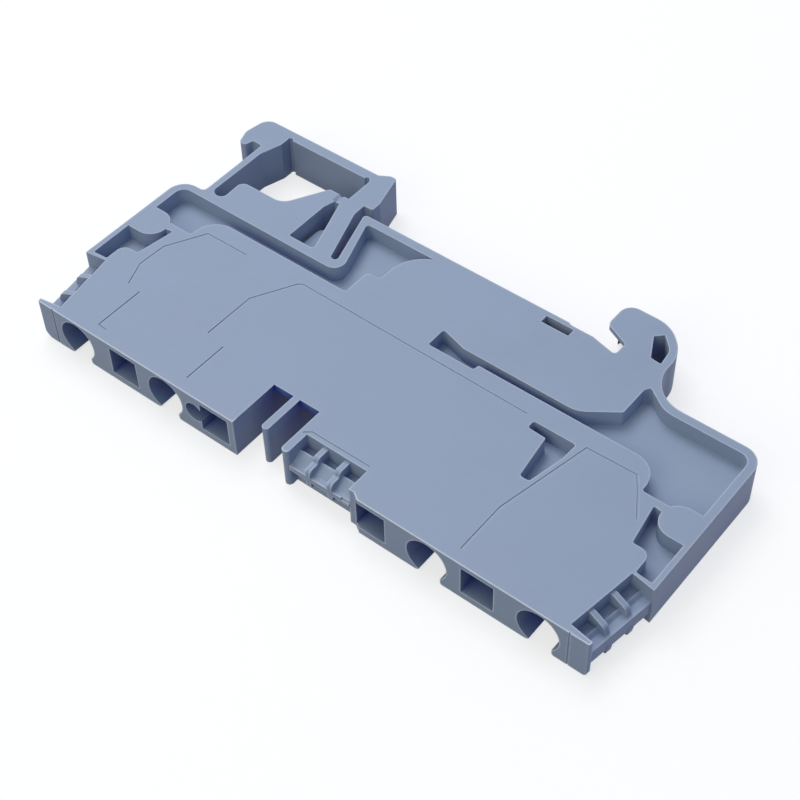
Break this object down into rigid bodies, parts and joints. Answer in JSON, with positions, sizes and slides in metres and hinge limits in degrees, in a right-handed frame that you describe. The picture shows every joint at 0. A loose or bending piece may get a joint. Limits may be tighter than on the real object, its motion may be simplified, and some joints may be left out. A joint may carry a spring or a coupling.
{
  "type": "rail terminal block",
  "caption": "Slim feed-through terminal block with cage-clamp wire entries, bridge slots, marker grooves and a spring-latch foot for a mounting rail.",
  "frame": {"origin": "centre of the bounding box's bottom, on the plane of the open side", "axes": "+X along the rail seat towards the fixed hook, +Y from the wire entries towards the rail foot, +Z through the thickness from the open side to the closed face"},
  "size_m": [0.0742, 0.0388, 0.0052],
  "materials": {
    "housing_plastic": "moulded polyamide, pale blue-grey, satin",
    "tinned_copper": null,
    "spring_steel": "rolled stainless spring strip"
  },
  "bodies": {
    "root": {"housing": "housing_plastic", "current_bar": "tinned_copper", "clamp_spring_right_inner": "spring_steel", "clamp_spring_left_inner": "spring_steel", "clamp_spring_right_outer": "spring_steel", "clamp_spring_left_outer": "spring_steel"}
  },
  "joints": []
}
